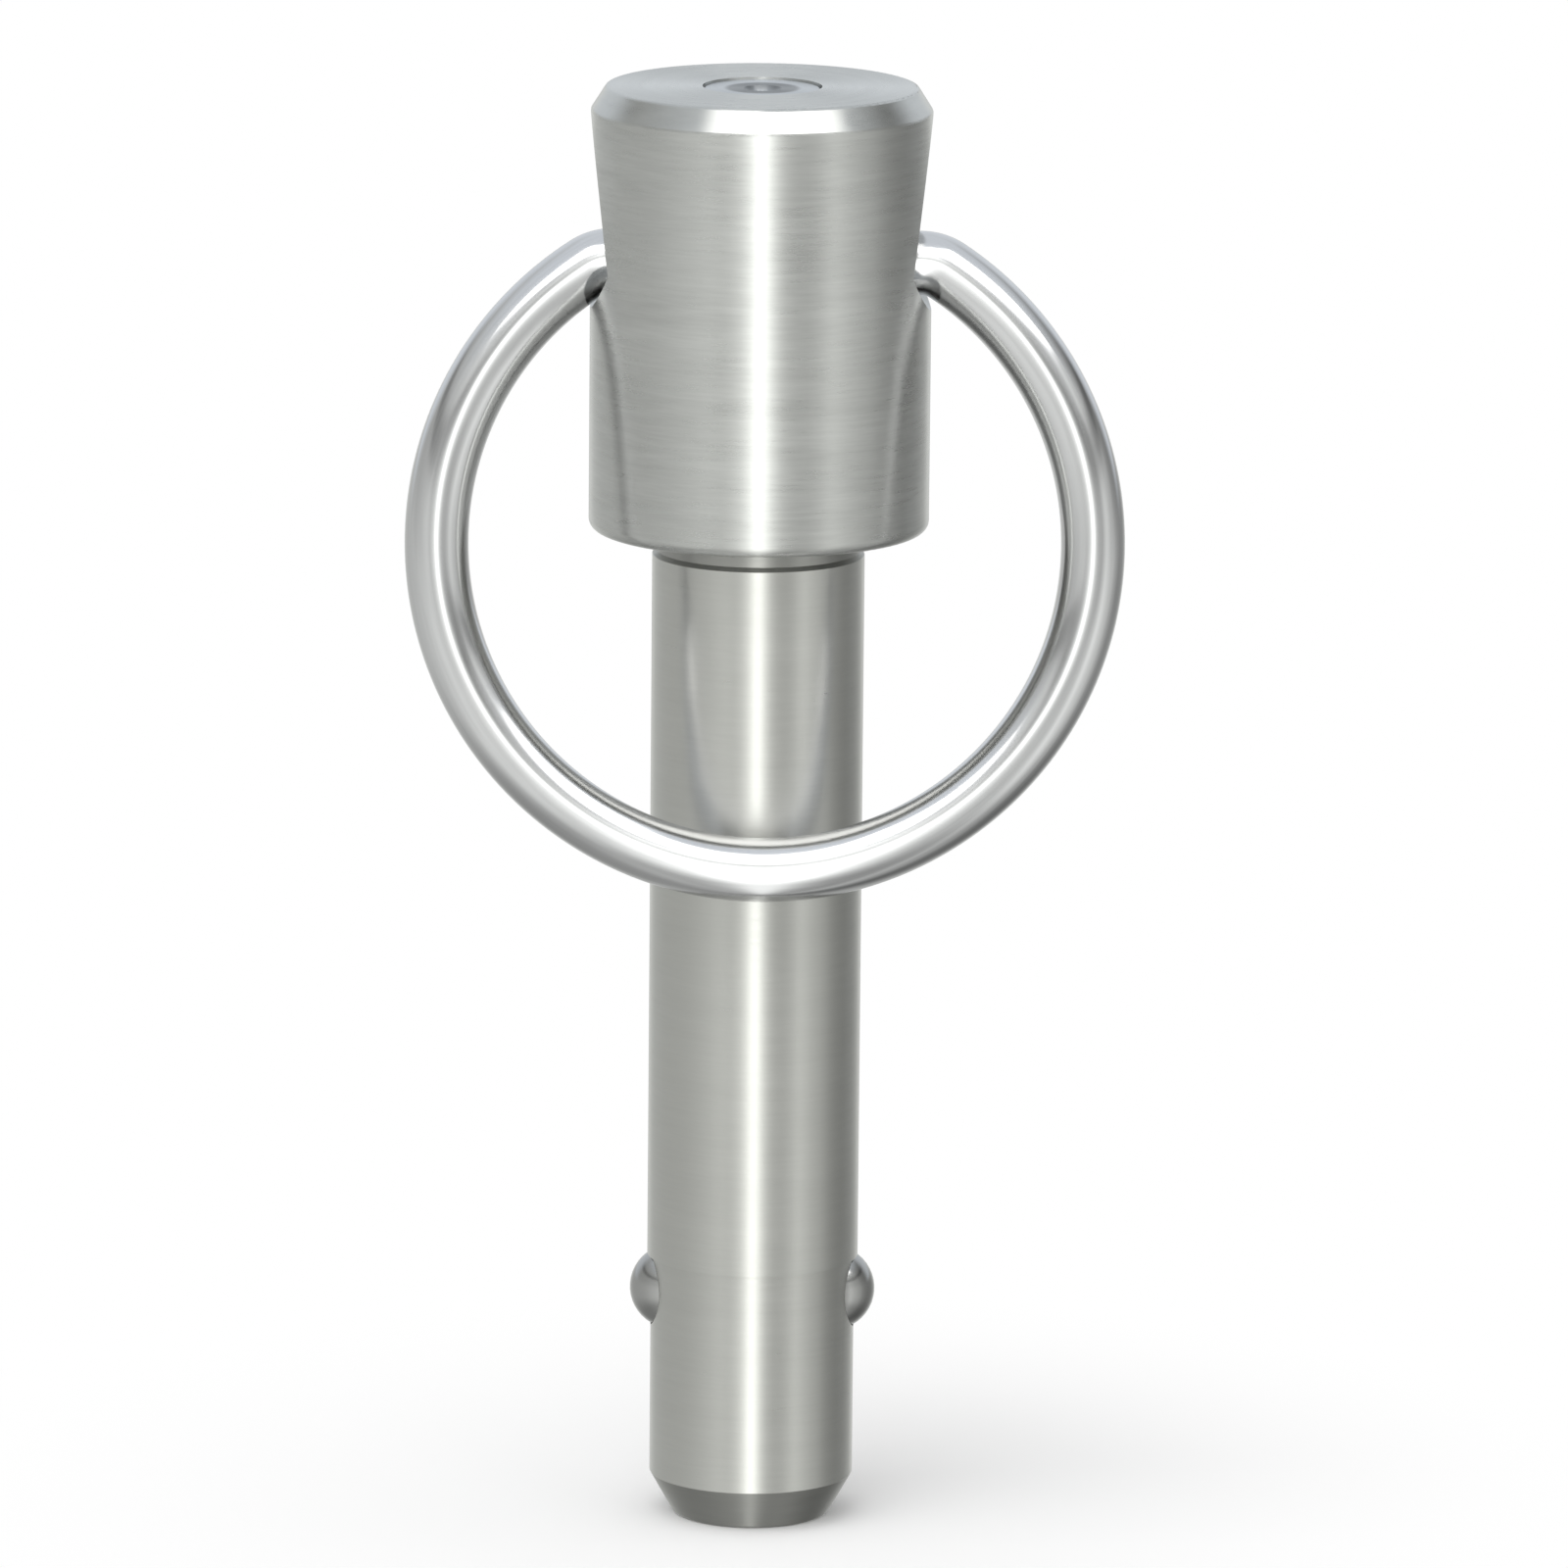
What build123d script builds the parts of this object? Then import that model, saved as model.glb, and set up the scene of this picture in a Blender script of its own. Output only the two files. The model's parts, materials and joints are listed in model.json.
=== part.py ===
from build123d import *
import math
import os

# Ball lock pin with a pull ring. Millimetres, +Z up.
#
# The origin is on the pin's axis, in the shoulder plane under the head. The
# head stands above it, the shank hangs below it, and the nose points to -Z.
# The two balls and the two ring holes lie along X. The pull ring hangs on the
# -Y side, just clear of the front of the shank.
#
# How it works: the land of the spindle stands behind the balls and holds them
# out. Pushing the release button slides the spindle down, the balls roll in
# along its ramp as far as the neck, and the pin can be drawn out. Letting the
# button go, the return spring lifts the spindle and pushes the balls out.


# ---- Driving dimensions -----------------------------------------------------

# Head
head_radius = 8.0
head_length = 21.0
head_chamfer_radial = 0.7
head_chamfer_axial = 1.1
head_bottom_round = 0.5
head_edge_round = 0.2
head_roof = 3.5
head_recess_depth = 1.0
head_recess_clearance = 0.1

# Flats milled on both sides of the head, sloping in towards the ring holes
flat_depth = 0.85
flat_end_radius = 4.5
flat_below_chamfer = 0.1
flat_round_margin = 0.4

# Shank
shank_radius = 5.0
grip_length = 35.0
nose_step = 0.17
nose_chamfer_radial = 1.12
nose_chamfer_length = 2.0
nose_edge_round = 0.3
nose_below_balls = 10.9
relief_width = 1.2
relief_depth = 0.2
tenon_shoulder = 0.7
tenon_length = 5.5

# Balls
ball_radius = 2.0
ball_below_grip = 1.7
ball_protrusion = 0.82
ball_sunk = 0.05
ball_clearance = 0.06
ball_running_gap = 0.1

# Spindle
land_below_balls = 3.8
stroke = 3.6
neck_length = 1.2
spindle_clearance = 0.08
spindle_end_gap = 0.6
spindle_edge = 0.3

# Release button
button_below_top = 0.1
button_edge_round = 0.12
button_clearance = 0.05
collar_ledge = 0.45
collar_thickness = 1.2
collar_clearance = 0.1
boss_wall = 0.48
boss_end_gap = 2.9
tang_cover = 2.5
dimple_radius = 0.9
dimple_depth = 0.8

# Return spring
spring_wire_radius = 0.3
spring_turns = 5.5
spring_boss_clearance = 0.2
spring_seat_gap = 0.05
spring_collar_lap = 0.2

# Pull ring
ring_wire_radius = 1.5
ring_radius = 15.35
ring_stand_out = 0.7
ring_bend_inside = 0.7
ring_end_float = 0.3
ring_hole_below_top = 8.3
ring_hole_wall = 0.55
ring_hole_clearance = 0.25
ring_rest_gap = 0.9


# ---- Sizes that follow --------------------------------------------------------

# A ball stands out of the shank by its protrusion when locked, and lies just
# under the surface when released. The land of the spindle fills what is left
# between the two balls, and the neck is smaller by the balls' travel.
ball_z = -grip_length - ball_below_grip
ball_x = shank_radius + ball_protrusion - ball_radius
ball_travel = ball_protrusion + ball_sunk
ball_hole_radius = ball_radius + ball_clearance
land_radius = ball_x - ball_radius - ball_running_gap
neck_radius = land_radius - ball_travel
spindle_bore_radius = land_radius + spindle_clearance
spindle_foot_z = ball_z - land_below_balls
bore_floor_z = spindle_foot_z - stroke - spindle_end_gap

# The shank's shoulder stands in a shallow recess under the head.
head_recess_radius = shank_radius + head_recess_clearance
relief_radius = shank_radius - relief_depth
nose_radius = shank_radius - nose_step
nose_flat_radius = nose_radius - nose_chamfer_radial
nose_z = ball_z - nose_below_balls

# Round the spindle, from the inside out: the button's boss, the spring, the
# collar that the spring pushes up, the chamber, and the tenon that closes it.
boss_radius = land_radius + boss_wall
spring_radius = boss_radius + spring_boss_clearance + spring_wire_radius
collar_radius = spring_radius + spring_wire_radius + spring_collar_lap
button_radius = collar_radius - collar_ledge
button_bore_radius = button_radius + button_clearance
chamber_radius = collar_radius + collar_clearance
tenon_radius = chamber_radius + tenon_shoulder

# The roof of the head stops the collar, with the button flush with the top.
roof_z = head_length - head_roof
collar_top_z = roof_z - collar_clearance
collar_bottom_z = collar_top_z - collar_thickness
button_top_z = head_length - button_below_top
boss_bottom_z = tenon_length + stroke + boss_end_gap
tang_top_z = button_top_z - dimple_depth - tang_cover

# The flats start just under the top chamfer and lean in. They reach their depth
# at the ring holes and end in a round a little below them.
ring_hole_z = head_length - ring_hole_below_top
ring_hole_radius = ring_wire_radius + ring_hole_clearance
ring_hole_floor_x = chamber_radius + ring_hole_wall
chamfer_foot_z = head_length - head_chamfer_axial
flat_top_z = chamfer_foot_z - flat_below_chamfer
flat_lean = math.atan2(flat_depth, flat_top_z - ring_hole_z)
flat_end_z = ring_hole_z - ring_hole_radius - flat_round_margin + flat_end_radius

# The circle of the ring crosses the hinge line just outside the flats. The ring
# hangs forward of the shank's front by its own wire.
ring_crossing = head_radius - flat_depth + ring_stand_out
ring_bend_radius = ring_wire_radius + ring_bend_inside
ring_drop = math.sqrt(ring_radius**2 - ring_crossing**2)
ring_reach = ring_drop + ring_radius
ring_stand_off = shank_radius + ring_wire_radius + ring_rest_gap
ring_tilt = math.degrees(math.asin(ring_stand_off / ring_reach))


# ---- Head -----------------------------------------------------------------------

# A turned sleeve, closed by the pressed-in shank below. From the top: the bore
# for the button, the roof, the chamber for the collar and spring, the socket for
# the tenon, and the recess for the shank's shoulder.
with BuildPart() as head:
    with BuildSketch(Plane.XZ):
        with BuildLine():
            Polyline(
                (tenon_radius, head_recess_depth),
                (head_recess_radius, head_recess_depth),
                (head_recess_radius, 0),
                (head_radius, 0),
                (head_radius, chamfer_foot_z),
                (head_radius - head_chamfer_radial, head_length),
                (button_bore_radius, head_length),
                (button_bore_radius, roof_z),
                (chamber_radius, roof_z),
                (chamber_radius, tenon_length),
                (tenon_radius, tenon_length),
                close=True,
            )
        make_face()
    revolve(axis=Axis.Z)
    rims = head.edges().filter_by(GeomType.CIRCLE).sort_by(SortBy.RADIUS)
    top_rims = rims.filter_by(lambda edge: edge.center().Z > chamfer_foot_z - head_edge_round)
    bottom_rims = rims.filter_by(lambda edge: edge.center().Z < head_edge_round)
    fillet(top_rims[-2:], radius=head_edge_round)
    fillet(bottom_rims[-1], radius=head_bottom_round)

    # A flat on each side: a round-ended slot, cut from outside by a plane that
    # leans in towards the ring hole.
    for side in (1, -1):
        flat_plane = Plane(
            origin=(side * head_radius, 0, flat_top_z),
            x_dir=(0, side, 0),
            z_dir=(side * math.cos(flat_lean), 0, -math.sin(flat_lean)),
        )
        with BuildSketch(flat_plane):
            with Locations((0, flat_end_z - flat_top_z)):
                Circle(flat_end_radius)
                Rectangle(2 * flat_end_radius, 2 * head_length, align=(Align.CENTER, Align.MIN))
        extrude(amount=head_radius, mode=Mode.SUBTRACT)
        ring_hole_plane = Plane(
            origin=(side * ring_hole_floor_x, 0, ring_hole_z),
            z_dir=(side, 0, 0),
        )
        with BuildSketch(ring_hole_plane):
            Circle(ring_hole_radius)
        extrude(amount=head_radius, mode=Mode.SUBTRACT)

head.part.label = "head"


# ---- Shank ------------------------------------------------------------------------

# Turned in one piece: the tenon that is pressed into the head, the grinding relief
# that runs up to the shoulder, the ground grip, the slightly smaller nose with its
# lead-in chamfer, and the blind spindle bore.
with BuildPart() as shank:
    with BuildSketch(Plane.XZ):
        with BuildLine():
            Polyline(
                (spindle_bore_radius, bore_floor_z),
                (spindle_bore_radius, tenon_length),
                (tenon_radius, tenon_length),
                (tenon_radius, head_recess_depth),
                (relief_radius, head_recess_depth),
                (relief_radius, relief_depth - relief_width),
                (shank_radius, -relief_width),
                (shank_radius, -grip_length),
                (nose_radius, -grip_length),
                (nose_radius, nose_z + nose_chamfer_length),
                (nose_flat_radius, nose_z),
                (0, nose_z),
                (0, bore_floor_z),
                close=True,
            )
        make_face()
    revolve(axis=Axis.Z)
    nose_rim = shank.edges().filter_by(GeomType.CIRCLE).sort_by(Axis.Z)[0]
    fillet(nose_rim, radius=nose_edge_round)

    # Each ball hole is a bore from the spindle out to the ball's resting place,
    # and ends in a round seat. The seat leaves a lip that the ball can't pass.
    for side in (1, -1):
        with BuildSketch(Plane.XZ):
            with BuildLine():
                Line((0, ball_z), (0, ball_z + ball_hole_radius))
                Line((0, ball_z + ball_hole_radius), (side * ball_x, ball_z + ball_hole_radius))
                TangentArc(
                    (side * ball_x, ball_z + ball_hole_radius),
                    (side * (ball_x + ball_hole_radius), ball_z),
                    tangent=(side, 0),
                )
                Line((side * (ball_x + ball_hole_radius), ball_z), (0, ball_z))
            make_face()
        revolve(axis=Axis((0, 0, ball_z), (side, 0, 0)), mode=Mode.SUBTRACT)

shank.part.label = "shank"


# ---- Release button -------------------------------------------------------------------

# Flush with the head's top. Its collar stays under the roof, and its boss centres
# the spring and holds the spindle's end.
with BuildPart() as release_button:
    with BuildSketch(Plane.XZ):
        with BuildLine():
            Polyline(
                (land_radius, boss_bottom_z),
                (boss_radius, boss_bottom_z),
                (boss_radius, collar_bottom_z),
                (collar_radius, collar_bottom_z),
                (collar_radius, collar_top_z),
                (button_radius, collar_top_z),
                (button_radius, button_top_z),
                (dimple_radius, button_top_z),
                (0, button_top_z - dimple_depth),
                (0, tang_top_z),
                (land_radius, tang_top_z),
                close=True,
            )
        make_face()
    revolve(axis=Axis.Z)
    button_rim = release_button.edges().filter_by(GeomType.CIRCLE).group_by(Axis.Z)[-1]
    fillet(button_rim.sort_by(SortBy.RADIUS)[-1], radius=button_edge_round)

release_button.part.label = "release_button"


# ---- Spindle ----------------------------------------------------------------------------

# From the foot up: the land behind the balls, the ramp they roll in on, the neck,
# a 45-degree flank, and the stem up into the button.
ramp_top_z = ball_z + stroke
neck_top_z = ramp_top_z + neck_length
flank_top_z = neck_top_z + ball_travel

with BuildPart() as spindle:
    with BuildSketch(Plane.XZ):
        with BuildLine():
            Polyline(
                (0, spindle_foot_z),
                (land_radius - spindle_edge, spindle_foot_z),
                (land_radius, spindle_foot_z + spindle_edge),
                (land_radius, ball_z),
                (neck_radius, ramp_top_z),
                (neck_radius, neck_top_z),
                (land_radius, flank_top_z),
                (land_radius, tang_top_z),
                (0, tang_top_z),
                close=True,
            )
        make_face()
    revolve(axis=Axis.Z)

spindle.part.label = "spindle"


# ---- Return spring ----------------------------------------------------------------------

# Stands on the tenon, round the button's boss, and pushes up on the collar.
spring_start_z = tenon_length + spring_wire_radius + spring_seat_gap
spring_rise = collar_bottom_z - spring_wire_radius - spring_seat_gap - spring_start_z

with BuildPart() as return_spring:
    with BuildLine(Plane.XY.offset(spring_start_z)):
        coil = Helix(pitch=spring_rise / spring_turns, height=spring_rise, radius=spring_radius)
    with BuildSketch(Plane(origin=coil @ 0, z_dir=coil % 0)):
        Circle(spring_wire_radius)
    sweep(path=coil, is_frenet=True)

return_spring.part.label = "return_spring"


# ---- Balls --------------------------------------------------------------------------------

with BuildPart() as ball_right:
    with Locations((ball_x, 0, ball_z)):
        Sphere(ball_radius)

ball_right.part.label = "ball_right"

with BuildPart() as ball_left:
    with Locations((-ball_x, 0, ball_z)):
        Sphere(ball_radius)

ball_left.part.label = "ball_left"


# ---- Pull ring ------------------------------------------------------------------------------

# Spring wire bent to a circle, open at the top, with both ends turned in to
# stubs that snap into the head's holes. It is drawn in its own plane: local X
# along the hinge, local Y up the ring, the hinge line at local zero.
bend_x = math.sqrt((ring_radius - ring_bend_radius) ** 2 - (ring_drop - ring_bend_radius) ** 2)
bend_lean = math.atan2(bend_x, ring_drop - ring_bend_radius)
bend_end_x = ring_radius * math.sin(bend_lean)
bend_end_y = ring_radius * math.cos(bend_lean) - ring_drop
bend_mid_x = bend_x + ring_bend_radius * math.sin(bend_lean / 2)
bend_mid_y = ring_bend_radius * math.cos(bend_lean / 2) - ring_bend_radius
stub_end_x = ring_hole_floor_x + ring_end_float + ring_hole_clearance

ring_plane = Plane(
    origin=(ring_end_float, 0, ring_hole_z),
    x_dir=(1, 0, 0),
    z_dir=(0, -math.cos(math.radians(ring_tilt)), math.sin(math.radians(ring_tilt))),
)

with BuildPart() as pull_ring:
    with BuildLine(ring_plane) as ring_path:
        Line((-stub_end_x, 0), (-bend_x, 0))
        ThreePointArc((-bend_x, 0), (-bend_mid_x, bend_mid_y), (-bend_end_x, bend_end_y))
        ThreePointArc((-bend_end_x, bend_end_y), (0, -ring_reach), (bend_end_x, bend_end_y))
        ThreePointArc((bend_end_x, bend_end_y), (bend_mid_x, bend_mid_y), (bend_x, 0))
        Line((bend_x, 0), (stub_end_x, 0))
    with BuildSketch(Plane(origin=ring_path.wire() @ 0, z_dir=ring_path.wire() % 0)):
        Circle(ring_wire_radius)
    sweep(path=ring_path.wire())

pull_ring.part.label = "pull_ring"


# ---- Files ------------------------------------------------------------------------------------

os.makedirs("parts", exist_ok=True)
export_step(head.part, "parts/head.step")
export_step(shank.part, "parts/shank.step")
export_step(release_button.part, "parts/release_button.step")
export_step(spindle.part, "parts/spindle.step")
export_step(return_spring.part, "parts/return_spring.step")
export_step(ball_right.part, "parts/ball_right.step")
export_step(ball_left.part, "parts/ball_left.step")
export_step(pull_ring.part, "parts/pull_ring.step")
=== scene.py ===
# %% [markdown]
# A ball lock pin, dressed for a studio picture. The CAD model comes in as a fixed
# frame: every piece already stands where it belongs, in metres, with the origin on
# the pin's axis in the shoulder plane under the head. This file adds what CAD leaves
# out, which is finish, light and a camera, and it remakes the two pieces that are
# bent from wire.

# %% Load the frame
import json
import math

import bpy
from mathutils import Matrix, Vector


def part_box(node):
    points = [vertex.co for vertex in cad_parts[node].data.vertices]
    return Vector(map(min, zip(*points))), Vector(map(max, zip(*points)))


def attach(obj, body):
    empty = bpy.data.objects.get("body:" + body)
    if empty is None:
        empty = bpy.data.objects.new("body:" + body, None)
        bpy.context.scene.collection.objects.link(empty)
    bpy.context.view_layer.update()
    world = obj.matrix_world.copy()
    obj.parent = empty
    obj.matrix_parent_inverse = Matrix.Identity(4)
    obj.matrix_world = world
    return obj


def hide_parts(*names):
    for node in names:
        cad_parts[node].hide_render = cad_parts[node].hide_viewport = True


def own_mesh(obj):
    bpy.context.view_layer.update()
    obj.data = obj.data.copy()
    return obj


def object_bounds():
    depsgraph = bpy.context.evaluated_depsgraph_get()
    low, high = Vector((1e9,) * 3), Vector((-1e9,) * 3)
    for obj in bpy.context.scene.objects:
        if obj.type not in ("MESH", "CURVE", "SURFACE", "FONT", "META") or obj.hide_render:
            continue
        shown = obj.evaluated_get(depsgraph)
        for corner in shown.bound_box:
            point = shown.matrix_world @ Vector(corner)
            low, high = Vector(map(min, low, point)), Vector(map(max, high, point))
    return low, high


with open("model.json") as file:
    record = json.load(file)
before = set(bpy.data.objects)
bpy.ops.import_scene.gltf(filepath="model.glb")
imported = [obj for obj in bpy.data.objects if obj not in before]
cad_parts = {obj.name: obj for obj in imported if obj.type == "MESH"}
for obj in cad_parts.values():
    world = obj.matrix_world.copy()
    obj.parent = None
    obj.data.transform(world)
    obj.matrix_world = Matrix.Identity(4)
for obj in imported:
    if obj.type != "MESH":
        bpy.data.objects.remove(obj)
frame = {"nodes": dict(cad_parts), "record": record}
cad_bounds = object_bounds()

MM = 0.001
scene = bpy.context.scene
nodes = frame["nodes"]
print("nodes:", sorted(nodes))
print("box:", [[round(value / MM, 2) for value in corner] for corner in cad_bounds])

# %% [markdown]
# The camera stands about 0.6 m away with a long lens, so the pin keeps almost
# parallel sides. It looks slightly down, enough to show the top face as a narrow
# ellipse. It is rolled by half a degree, because the pin leans by that much.

# %% Camera
ELEVATION = math.radians(11.6)
DISTANCE = 0.625
ROLL = math.radians(0.52)
LENS = 304.0
aim = Vector((1.30 * MM, 0.0, -12.27 * MM))

camera = bpy.data.objects.new("camera", bpy.data.cameras.new("camera"))
scene.collection.objects.link(camera)
camera.data.lens = LENS
camera.data.sensor_width = 36.0
camera.data.clip_start = 0.05
camera.data.clip_end = 50.0
outward = Vector((0.0, -math.cos(ELEVATION), math.sin(ELEVATION)))
camera.matrix_world = (
    Matrix.Translation(aim + DISTANCE * outward)
    @ outward.to_track_quat("Z", "Y").to_matrix().to_4x4()
    @ Matrix.Rotation(ROLL, 4, "Z")
)
scene.camera = camera
scene.view_settings.view_transform = "Standard"
print("camera at", [round(value, 4) for value in camera.matrix_world.translation])

# %% [markdown]
# Shader nodes are easier to read as sums. The class below wraps one output socket and
# overloads the operators, so `1 - mask * 0.5` builds two Math nodes. Every other node
# comes from `Tree.node`, which takes the node's type, its settings and the values or
# links for its sockets.

# %% Shader helpers
class Wire:
    """An output socket that can be used in a sum."""

    def __init__(self, tree, socket):
        self.tree = tree
        self.socket = socket

    def math(self, operation, *values):
        return self.tree.node("ShaderNodeMath", {"operation": operation}, dict(enumerate(values)))

    def __add__(self, other):
        return self.math("ADD", self, other)

    def __sub__(self, other):
        return self.math("SUBTRACT", self, other)

    def __rsub__(self, other):
        return self.math("SUBTRACT", other, self)

    def __mul__(self, other):
        return self.math("MULTIPLY", self, other)

    def __truediv__(self, other):
        return self.math("DIVIDE", self, other)

    __radd__ = __add__
    __rmul__ = __mul__


class Tree:
    """A node tree that is emptied and then built up by calls."""

    def __init__(self, owner):
        owner.use_nodes = True
        self.tree = owner.node_tree
        self.tree.nodes.clear()

    def node(self, kind, settings=None, values=None, output=0):
        made = self.tree.nodes.new(kind)
        for name, setting in (settings or {}).items():
            if name == "stops":
                self.set_stops(made.color_ramp, setting)
            else:
                setattr(made, name, setting)
        for name, value in (values or {}).items():
            socket = made.inputs[name]
            if isinstance(value, Wire):
                self.tree.links.new(value.socket, socket)
            else:
                socket.default_value = value
        return Wire(self, made.outputs[output]) if made.outputs else made

    @staticmethod
    def set_stops(ramp, stops):
        while len(ramp.elements) < len(stops):
            ramp.elements.new(0.5)
        for element, (place, colour) in zip(ramp.elements, stops):
            element.position = place
            element.color = (*colour, 1.0)

    def smooth_step(self, value, low, high):
        """0 below low, 1 above high, and a soft rise between them."""
        return self.node("ShaderNodeMapRange", {"interpolation_type": "SMOOTHSTEP"},
                         {"Value": value, "From Min": low, "From Max": high})

    def blend(self, factor, first, second):
        """A mix of two colours."""
        return self.node("ShaderNodeMix", {"data_type": "RGBA"}, {0: factor, 6: first, 7: second}, 2)

    def window(self, value, rise, fall):
        """1 between the two ranges given as pairs, where it softly rises and falls again."""
        return self.smooth_step(value, *rise) * (1.0 - self.smooth_step(value, *fall))

    def scaled(self, colour, amount):
        """A colour made brighter or darker."""
        return self.node("ShaderNodeVectorMath", {"operation": "SCALE"}, {0: colour, "Scale": amount})

    def xyz(self, vector):
        """The three parts of a vector."""
        split = self.node("ShaderNodeSeparateXYZ", values={"Vector": vector}).socket.node
        return [Wire(self, socket) for socket in split.outputs]


def from_axis(x, y):
    """The distance from the Z axis, of two Wires."""
    return x.math("SQRT", x * x + y * y)


print("shader helpers ready")

# %% [markdown]
# Polished metal has no colour of its own: it shows the room. So the room matters more
# than the lamps. A round pin mirrors one compass direction in each vertical stripe of
# its surface, and a band of light and dark walls all the way round gives those
# stripes. The list holds the brightness of the wall for each direction, with 0 degrees
# towards the camera and positive angles to the right. Above the walls hangs a pale
# ceiling with one bright soft box in front, which lights the top chamfer. The dark
# gap between the walls and the ceiling draws a fine line along the polished ring.

# %% Studio room
WALLS = [
    (-180, 0.60), (-162, 0.80), (-150, 0.62), (-134, 0.56), (-112, 0.57), (-96, 0.59), (-80, 0.62),
    (-64, 0.70), (-46, 0.82), (-36, 0.88), (-25, 0.80), (-16, 0.96), (-8, 1.35), (-3, 2.35),
    (3, 2.35), (9, 1.22), (16, 0.78), (24, 0.64), (34, 0.63), (43, 0.78), (50, 0.98), (58, 0.86),
    (68, 0.72), (82, 0.58), (92, 0.42), (102, 0.34), (114, 0.29), (132, 0.32), (150, 0.50), (162, 0.80),
    (180, 0.60),
]
WALL_TINT = (0.985, 1.0, 0.975)
BRIGHTEST = 2.4
CEILING = (0.74, 0.78, 0.82, 1.0)
SOFT_BOX = (3.2, 3.2, 3.15, 1.0)
BOX_TURN = math.radians(12)
ROOM_LIGHT = (0.86, 0.86, 0.86, 1.0)
WHITE = (1.0, 1.0, 1.0, 1.0)

world = bpy.data.worlds.new("studio")
scene.world = world
room = Tree(world)
direction = room.node("ShaderNodeTexCoord", output="Generated")
east, north, up = room.xyz(direction)
compass = east.math("ARCTAN2", east, 0.0 - north) / (2 * math.pi) + 0.5
wall_stops = [
    (angle / 360 + 0.5, [level / BRIGHTEST * tint for tint in WALL_TINT]) for angle, level in WALLS
]
wall = room.node("ShaderNodeValToRGB", {"stops": wall_stops}, {"Fac": compass})
print("room walls:", len(WALLS), "brightness steps")

# %% [markdown]
# The walls change with height too. Heights here are the upward part of a direction:
# 0 is level and 1 is straight up. The walls darken towards the floor, stop at a dark
# gap above eye level, and give way to the ceiling. Behind the pin the ceiling comes
# down to eye level, because that is the part that the flat top mirrors.

# %% Walls, ceiling and soft box
gap = room.window(up, (0.36, 0.41), (0.47, 0.52))
dim = (1.0 - 0.42 * room.smooth_step(0.0 - up, 0.32, 0.75)) * (1.0 - 0.5 * gap)
dim = dim * (1.0 - 0.15 * room.smooth_step(up, 0.0, 0.25))
wall = room.scaled(room.scaled(wall, BRIGHTEST), dim)
behind = room.smooth_step(north, 0.30, 0.75) * room.smooth_step(up, 0.0, 0.12)
above = behind.math("MAXIMUM", behind, room.smooth_step(up, 0.50, 0.85))
walls_and_ceiling = room.blend(above, wall, CEILING)

level = from_axis(east, north)
facing = (math.sin(BOX_TURN) * east - math.cos(BOX_TURN) * north) / level.math("MAXIMUM", level, 0.001)
soft_box = room.smooth_step(facing, 0.45, 0.50) * room.window(up, (0.64, 0.69), (0.90, 0.94))
mirrored = room.blend(soft_box, walls_and_ceiling, SOFT_BOX)
print("soft box turned by", round(math.degrees(BOX_TURN)), "degrees")

# %% [markdown]
# Only mirrored rays see the studio. The camera sees plain white behind the pin, and
# matt surfaces get an even light from all sides.

# %% What each kind of ray sees
light_path = room.node("ShaderNodeLightPath").socket.node
is_camera = Wire(room, light_path.outputs["Is Camera Ray"])
is_glossy = Wire(room, light_path.outputs["Is Glossy Ray"])
plain = room.blend(is_camera, ROOM_LIGHT, WHITE)
room_colour = room.blend(is_glossy, plain, mirrored)
background = room.node("ShaderNodeBackground", values={"Color": room_colour, "Strength": 1.0})
room.node("ShaderNodeOutputWorld", values={"Surface": background})
print("background: white for the camera")

# %% [markdown]
# The pin stands on its nose on a pale floor. Close to the pin the floor is plain matt
# white, so it keeps a soft shadow. Further out it fades into the white of the
# background, so no horizon shows. Mirrored rays pass through it to the walls of the
# room, because a floor this close would fill the whole pin with its reflection.

# %% Floor
FLOOR_HALF = 3.0
FLOOR_PAINT = (0.90, 0.90, 0.90, 1.0)
FADE_START = 12 * MM
FADE_END = 45 * MM
floor_level = cad_bounds[0][2]
floor_mesh = bpy.data.meshes.new("floor")
floor_mesh.from_pydata(
    [(x * FLOOR_HALF, y * FLOOR_HALF, floor_level) for x, y in ((-1, -1), (1, -1), (1, 1), (-1, 1))],
    [], [(0, 1, 2, 3)],
)
floor = bpy.data.objects.new("floor", floor_mesh)
scene.collection.objects.link(floor)
floor_finish = bpy.data.materials.new("matt_white_floor")
paint = Tree(floor_finish)
spot_x, spot_y, _ = paint.xyz(paint.node("ShaderNodeTexCoord", output="Object"))
away = from_axis(spot_x, spot_y)
matt = paint.node("ShaderNodeBsdfDiffuse", values={"Color": FLOOR_PAINT})
glow = paint.node("ShaderNodeEmission", values={"Color": WHITE, "Strength": 1.0})
floor_path = paint.node("ShaderNodeLightPath").socket.node
seen = Wire(paint, floor_path.outputs["Is Camera Ray"])
mirrored_ray = Wire(paint, floor_path.outputs["Is Glossy Ray"])
fade = paint.smooth_step(away, FADE_START, FADE_END) * seen
shown = paint.node("ShaderNodeMixShader", values={0: fade, 1: matt, 2: glow})
clear = paint.node("ShaderNodeBsdfTransparent")
surface = paint.node("ShaderNodeMixShader", values={0: mirrored_ray, 1: shown, 2: clear})
paint.node("ShaderNodeOutputMaterial", values={"Surface": surface})
floor_mesh.materials.append(floor_finish)
print("floor at", round(floor_level / MM, 2), "mm")

# %% [markdown]
# One very wide sun from the upper left gives the floor its soft shadow. A sun has no
# falloff, so the floor is equally bright everywhere. It is hidden from mirrored rays:
# the metal takes its highlights from the room.

# %% Lamp
SUN_STRENGTH = 1.0
SUN_WIDTH = math.radians(50)
SUN_TURN = (math.radians(28), math.radians(-22), 0.0)

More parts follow.
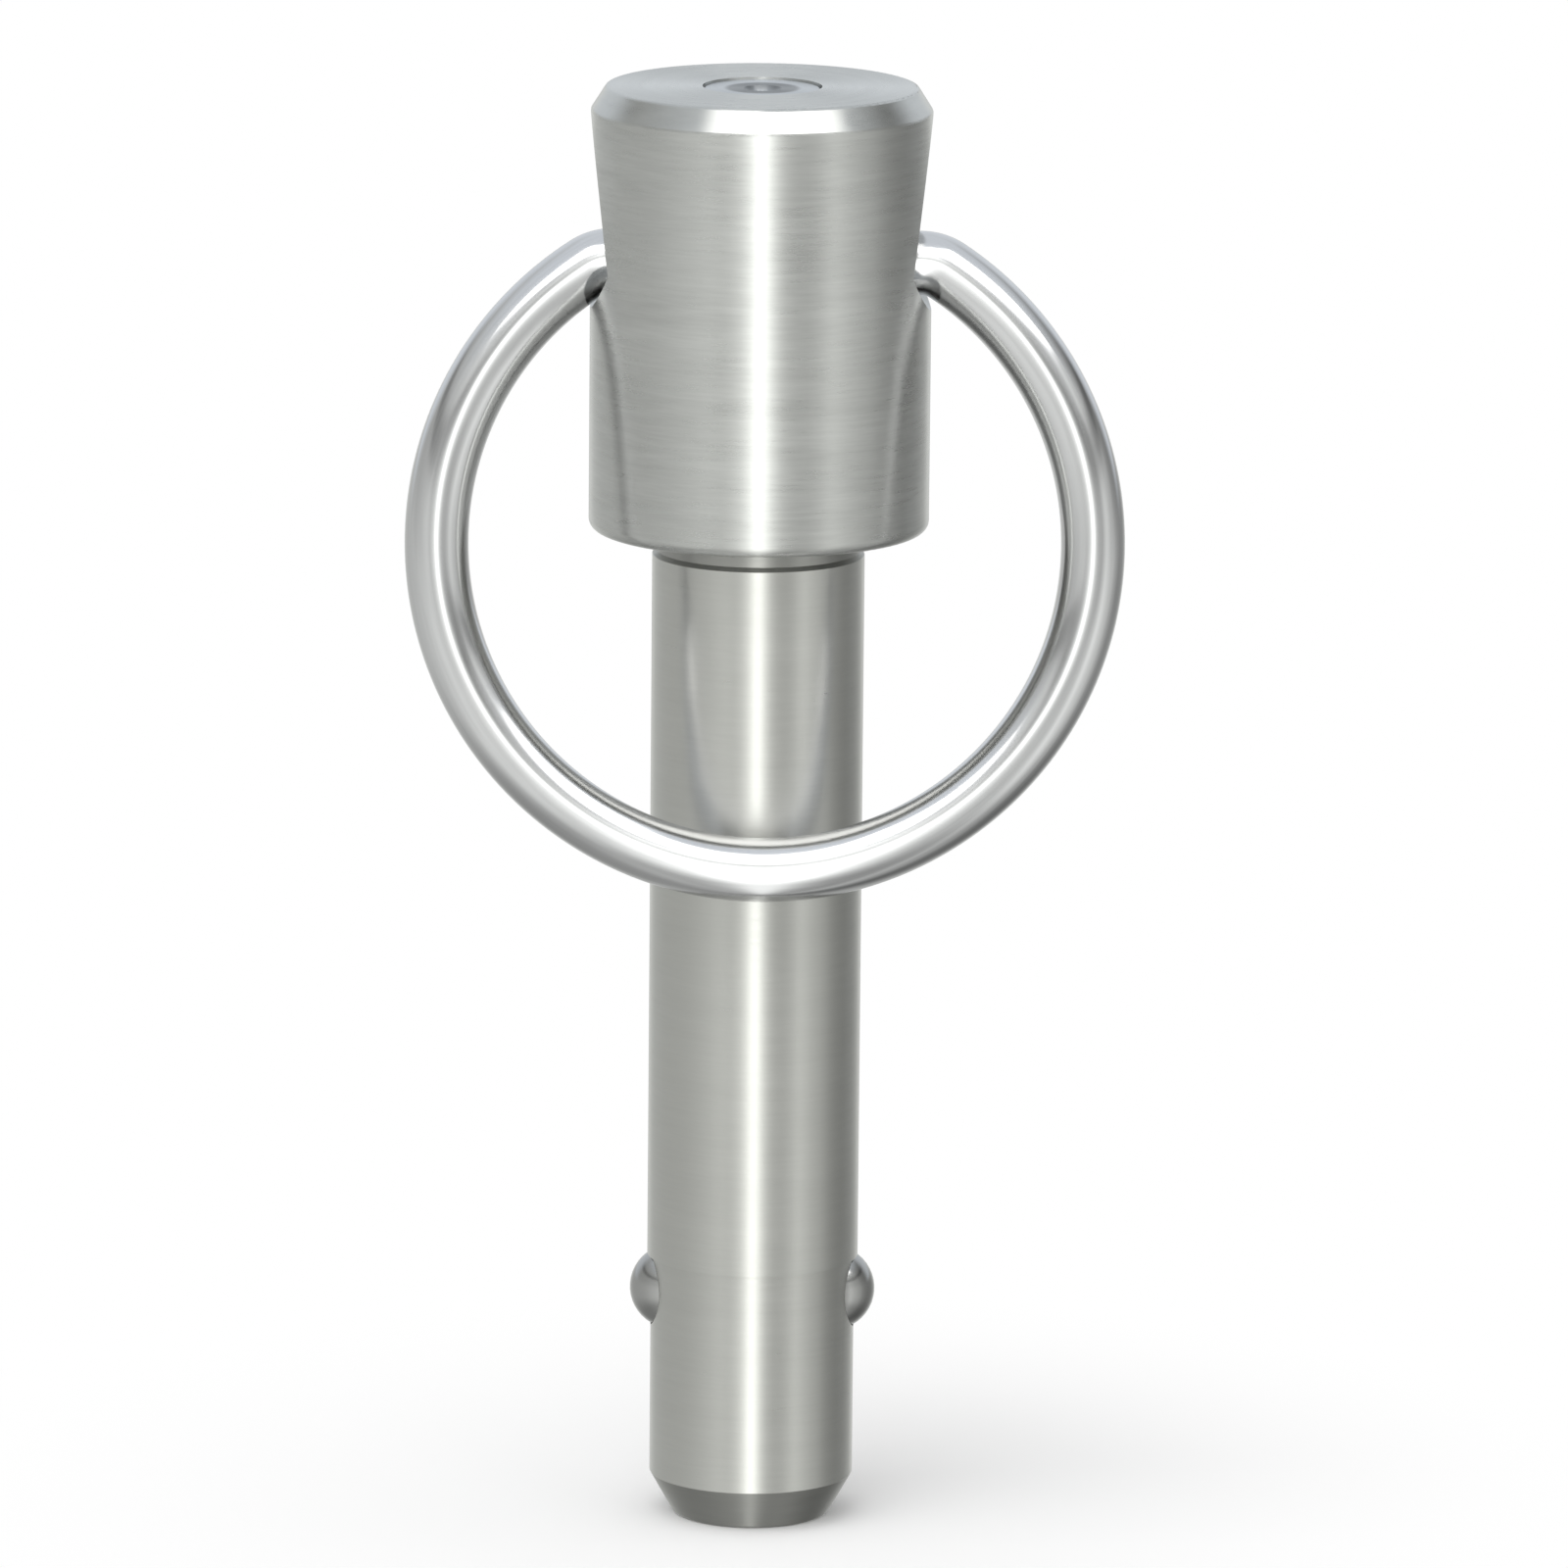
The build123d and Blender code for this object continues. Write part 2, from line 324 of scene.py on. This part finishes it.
lamp = bpy.data.objects.new("soft_sun", bpy.data.lights.new("soft_sun", "SUN"))
lamp.data.energy = SUN_STRENGTH
lamp.data.angle = SUN_WIDTH
lamp.rotation_euler = SUN_TURN
lamp.visible_glossy = False
scene.collection.objects.link(lamp)
print("lamp:", lamp.data.energy, "W/m2")

# %% [markdown]
# Turned steel carries fine rings left by the tool. Light spreads across the rings and
# stays sharp along them, which is what makes a lathe-turned face glitter. Two things
# give that look. The shader's anisotropy spreads the mirrored room across the rings.
# A noise that is squeezed along the radius and the height, and long round the axis,
# varies the colour, the roughness and the bump in the same direction. Adding the
# radius to the height makes one pattern that works on the sides, the chamfer and the
# flat end alike.

# %% Steel finish
BUMP_HEIGHT = 0.005 * MM
CLOUD_SCALE = 330.0
BAND_SCALE = 0.17
BAND_LENGTH = 0.25
CONTRAST = 0.14
WEAR_RANGE = 0.12


def ring_pattern(tree, place, fine, along):
    """A noise drawn out round the Z axis: fine per metre across the rings, along per metre round them."""
    x, y, z = tree.xyz(place)
    radius = from_axis(x, y)
    drawn_out = tree.node("ShaderNodeCombineXYZ", values={
        0: x * along, 1: y * along, 2: (radius + z) * fine})
    return tree.node("ShaderNodeTexNoise", values={
        "Vector": drawn_out, "Scale": 1.0, "Detail": 2.0, "Roughness": 0.6})


def steel(name, colour, roughness, spread, lines=0.06, blotch=0.05, bump=0.12, fine=5200.0,
          along=420.0, turn_to_axis=None, painted_shade_zone=None, painted_shade_level=0.7):
    """A metal with tool lines round the Z axis, or round the axis that turn_to_axis brings to Z.

    The zone function, when given, returns a mask that is 1 where painted shade darkens the colour and the
    roughness goes up.
    """
    finish = bpy.data.materials.new(name)
    tree = Tree(finish)
    place = tree.node("ShaderNodeTexCoord", output="Object")
    cloud = tree.node("ShaderNodeTexNoise", values={"Vector": place, "Scale": CLOUD_SCALE, "Detail": 4.0})
    rough = roughness + (cloud - 0.5) * 0.06
    mask = painted_shade_zone(tree, *tree.xyz(place)) if painted_shade_zone else None
    if turn_to_axis:
        shift, turn = turn_to_axis
        place = tree.node("ShaderNodeVectorMath", {"operation": "SUBTRACT"}, {0: place, 1: shift})
        place = tree.node("ShaderNodeMapping", values={"Vector": place, "Rotation": turn})
    line = ring_pattern(tree, place, fine, along)
    band = ring_pattern(tree, place, fine * BAND_SCALE, along * BAND_LENGTH)
    wear = (line - 0.5) * lines + (band - 0.5) * lines * 0.8 + (cloud - 0.5) * blotch
    tone = tree.smooth_step(wear, -WEAR_RANGE, WEAR_RANGE)
    dark = [part * (1 - CONTRAST) for part in colour]
    light = [part * (1 + CONTRAST) for part in colour]
    shade = tree.blend(tone, (*dark, 1.0), (*light, 1.0))
    rough = rough + (line - 0.5) * 0.12
    # Painted shade: inside the mask the colour is darkened, and the roughness is raised a little.
    if mask:
        shade = tree.blend(mask, shade, tree.scaled(shade, painted_shade_level))
        rough = rough + mask * 0.06
    relief = tree.node("ShaderNodeBump", values={
        "Strength": bump, "Distance": BUMP_HEIGHT, "Height": line})
    metal = tree.node("ShaderNodeBsdfPrincipled", values={
        "Base Color": shade, "Metallic": 1.0, "Roughness": rough,
        "Anisotropic": spread, "Anisotropic Rotation": 0.25, "Normal": relief})
    tree.node("ShaderNodeOutputMaterial", values={"Surface": metal})
    return finish


print("tool lines:", BUMP_HEIGHT / MM, "mm high at full strength")

# %% [markdown]
# The shank is ground after it is turned. Its relief under the head and its chamfer at
# the nose get painted shade. This darker colour stands in for the shade under the head,
# and for the dim lower room that the chamfer mirrors. Both also get a little more roughness.
# On the button, a ring of painted shade round the dimple stands in for the dark reflection in its well.

# %% The finishes
EDGE = 0.04 * MM
RELIEF_WIDTH = 1.2 * MM
NOSE_CHAMFER = 2.0 * MM
# The ring of painted shade on the button lies between these two radii.
DIMPLE_RADIUS = 0.9 * MM
SHADE_RING_RADIUS = 1.9 * MM


def relief_and_nose_shade(tree, x, y, z):
    """The relief under the head and the chamfer at the nose, which get painted shade."""
    relief = tree.smooth_step(z, -RELIEF_WIDTH, -RELIEF_WIDTH + EDGE)
    chamfer_top = floor_level + NOSE_CHAMFER
    nose = 1.0 - tree.smooth_step(z, chamfer_top - EDGE, chamfer_top)
    return relief + nose


def dimple_ring_shade(tree, x, y, z):
    """The ring round the button's dimple, where painted shade stands in for the dark reflection in the
    well.
    """
    return tree.window(from_axis(x, y), (DIMPLE_RADIUS * 0.5, DIMPLE_RADIUS), (SHADE_RING_RADIUS * 0.8, SHADE_RING_RADIUS))


turned = steel("turned_steel", (0.60, 0.605, 0.59), 0.29, 0.85, lines=0.16, blotch=0.06)
# The shank gets painted shade on its relief under the head and on its nose chamfer.
ground_finish = steel("ground_steel", (0.60, 0.60, 0.575), 0.31, 0.80, blotch=0.03, bump=0.06,
                      painted_shade_zone=relief_and_nose_shade, painted_shade_level=0.68)
# The button gets a ring of painted shade round its dimple.
faced = steel("faced_steel", (0.60, 0.62, 0.64), 0.34, 0.70, lines=0.14, blotch=0.10,
              painted_shade_zone=dimple_ring_shade, painted_shade_level=0.45)
rod = steel("rod_steel", (0.55, 0.55, 0.54), 0.30, 0.60, lines=0.05)
ball_finish = steel("ball_steel", (0.46, 0.46, 0.455), 0.16, 0.0, lines=0.02, blotch=0.08, bump=0.03)
print("finishes:", [finish.name for finish in bpy.data.materials if finish.name.endswith("_steel")])

# %% [markdown]
# Six CAD pieces have the right shape already, so they only get a finish, by putting
# it in their material slots. Their meshes stay as they are.

# %% Dress the CAD pieces
DRESSED = {"head": turned, "shank": ground_finish, "release_button": faced, "spindle": rod,
           "ball_left": ball_finish, "ball_right": ball_finish}

for node_name, finish in DRESSED.items():
    for slot in nodes[node_name].material_slots:
        slot.material = finish
    print(node_name, "->", finish.name)

# %% [markdown]
# The ring and the spring are both wire drawn along a line, so one small Geometry Nodes
# tree makes both: it sweeps a circle along a curve. The line of the ring is a circle
# with its two ends bent inwards to the hinge. The line of the spring is a helix. The
# tree's inputs are the wire's radius and the number of sides, and the result is turned
# into a plain mesh.

# %% Wire sweeper
def wire_tree(finish):
    """A Geometry Nodes tree that sweeps a circle along the object's own curve."""
    group = bpy.data.node_groups.new("wire_along_" + finish.name, "GeometryNodeTree")
    group.interface.new_socket("Geometry", in_out="INPUT", socket_type="NodeSocketGeometry")
    group.interface.new_socket("Wire radius", in_out="INPUT", socket_type="NodeSocketFloat")
    group.interface.new_socket("Sides", in_out="INPUT", socket_type="NodeSocketInt")
    group.interface.new_socket("Geometry", in_out="OUTPUT", socket_type="NodeSocketGeometry")
    given = group.nodes.new("NodeGroupInput")
    circle = group.nodes.new("GeometryNodeCurvePrimitiveCircle")
    sweep = group.nodes.new("GeometryNodeCurveToMesh")
    smooth = group.nodes.new("GeometryNodeSetShadeSmooth")
    real = group.nodes.new("GeometryNodeRealizeInstances")
    coat = group.nodes.new("GeometryNodeSetMaterial")
    result = group.nodes.new("NodeGroupOutput")
    sweep.inputs["Fill Caps"].default_value = True
    coat.inputs["Material"].default_value = finish
    for start, end in (
        (given.outputs["Wire radius"], circle.inputs["Radius"]),
        (given.outputs["Sides"], circle.inputs["Resolution"]),
        (given.outputs["Geometry"], sweep.inputs["Curve"]),
        (circle.outputs["Curve"], sweep.inputs["Profile Curve"]),
        (sweep.outputs["Mesh"], smooth.inputs["Geometry"]),
        (smooth.outputs["Geometry"], real.inputs["Geometry"]),
        (real.outputs["Geometry"], coat.inputs["Geometry"]),
        (coat.outputs["Geometry"], result.inputs["Geometry"]),
    ):
        group.links.new(start, end)
    return group


def sweep_wire(name, points, wire_radius, sides, finish):
    """A mesh object: wire of that radius along the points."""
    line = bpy.data.curves.new(name + "_line", "CURVE")
    line.dimensions = "3D"
    spline = line.splines.new("POLY")
    spline.points.add(len(points) - 1)
    for point, place in zip(spline.points, points):
        point.co = (*place, 1.0)
    guide = bpy.data.objects.new(name + "_line", line)
    scene.collection.objects.link(guide)
    modifier = guide.modifiers.new("wire", "NODES")
    modifier.node_group = wire_tree(finish)
    sockets = {item.name: item.identifier for item in modifier.node_group.interface.items_tree
               if item.in_out == "INPUT"}
    modifier[sockets["Wire radius"]] = wire_radius
    modifier[sockets["Sides"]] = sides
    evaluated = guide.evaluated_get(bpy.context.evaluated_depsgraph_get())
    mesh = bpy.data.meshes.new_from_object(evaluated)
    bpy.data.objects.remove(guide)
    mesh.name = name
    piece = bpy.data.objects.new(name, mesh)
    scene.collection.objects.link(piece)
    print(name, "faces:", len(mesh.polygons))
    return piece


# %% [markdown]
# The pull ring hangs from the hinge line across the head and leans forward, so that
# it clears the shank. Its bends are drawn in its own plane, with the hinge as the
# horizontal axis, and the plane is then tilted about the hinge.

# %% Pull ring
joints = {joint["name"]: joint for joint in frame["record"]["behaviour"]["joints"]}
hinge_z = joints["ring_swing"]["pos_m"][2]
RING_RADIUS = 15.35 * MM
RING_WIRE = 1.5 * MM
RING_SIDES = 40
RING_BEND = 2.2 * MM
RING_CROSSING = 7.85 * MM
RING_SHIFT = 0.3 * MM
STUB_END = 4.4 * MM
SHANK_RADIUS = 5.0 * MM
REST_GAP = 0.9 * MM
ARC_STEPS = 200
BEND_STEPS = 10

drop = math.sqrt(RING_RADIUS**2 - RING_CROSSING**2)
tilt = math.asin((SHANK_RADIUS + RING_WIRE + REST_GAP) / (drop + RING_RADIUS))
bend_x = math.sqrt((RING_RADIUS - RING_BEND)**2 - (drop - RING_BEND)**2)
lean = math.atan2(bend_x, drop - RING_BEND)


def half_bend():
    """Points of the right bend, from the stub down to the big circle."""
    return [
        (bend_x + RING_BEND * math.sin(lean * step / BEND_STEPS),
         RING_BEND * math.cos(lean * step / BEND_STEPS) - RING_BEND)
        for step in range(BEND_STEPS + 1)
    ]


right = [(STUB_END, 0.0), *half_bend()]
sweep_angle = 2 * (math.pi - lean)
around = [
    (RING_RADIUS * math.sin(lean + sweep_angle * step / ARC_STEPS),
     RING_RADIUS * math.cos(lean + sweep_angle * step / ARC_STEPS) - drop)
    for step in range(1, ARC_STEPS)
]
left = [(-x, y) for x, y in reversed(right)]
ring_line = [
    (x + RING_SHIFT, y * math.sin(tilt), hinge_z + y * math.cos(tilt)) for x, y in right + around + left
]
ring_centre = Vector((RING_SHIFT, -drop * math.sin(tilt), hinge_z - drop * math.cos(tilt)))
ring_turn = (math.pi / 2 + tilt, 0.0, 0.0)
ring_finish = steel("ring_wire_steel", (0.73, 0.73, 0.74), 0.15, 0.0, lines=0.10, bump=0.06,
                    fine=4200.0, along=160.0, turn_to_axis=(ring_centre, ring_turn))
ring = sweep_wire("ring_wire", ring_line, RING_WIRE, RING_SIDES, ring_finish)
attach(ring, "ring")
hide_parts("pull_ring")
print("ring tilt:", round(math.degrees(tilt), 2), "degrees")

# %% [markdown]
# The return spring sits in the head, between the shank and the button's collar. It
# shortens when the button goes down; the coil here is built at the CAD spring's length.

# %% Return spring
spring_low, spring_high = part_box("return_spring")
SPRING_WIRE = 0.3 * MM
SPRING_SIDES = 12
SPRING_TURNS = 5.5
STEPS_PER_TURN = 40
coil_radius = (spring_high[0] - spring_low[0]) / 2 - SPRING_WIRE
coil_start = spring_low[2] + SPRING_WIRE
coil_rise = spring_high[2] - SPRING_WIRE - coil_start
stroke = joints["button_push"]["range_m"][1]
steps = round(SPRING_TURNS * STEPS_PER_TURN)
coil_line = [
    (coil_radius * math.cos(2 * math.pi * step / STEPS_PER_TURN),
     coil_radius * math.sin(2 * math.pi * step / STEPS_PER_TURN),
     coil_start + coil_rise * step / steps)
    for step in range(steps + 1)
]
spring_finish = steel("spring_wire_steel", (0.52, 0.52, 0.54), 0.28, 0.0, lines=0.04)
spring = sweep_wire("spring_coil", coil_line, SPRING_WIRE, SPRING_SIDES, spring_finish)
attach(spring, "housing")
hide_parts("return_spring")
coil_height = spring_high[2] - spring_low[2]
(coil_height - stroke) / coil_height
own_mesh(spring)
print("spring:", SPRING_TURNS, "turns,", round(coil_height / MM, 2), "mm long")
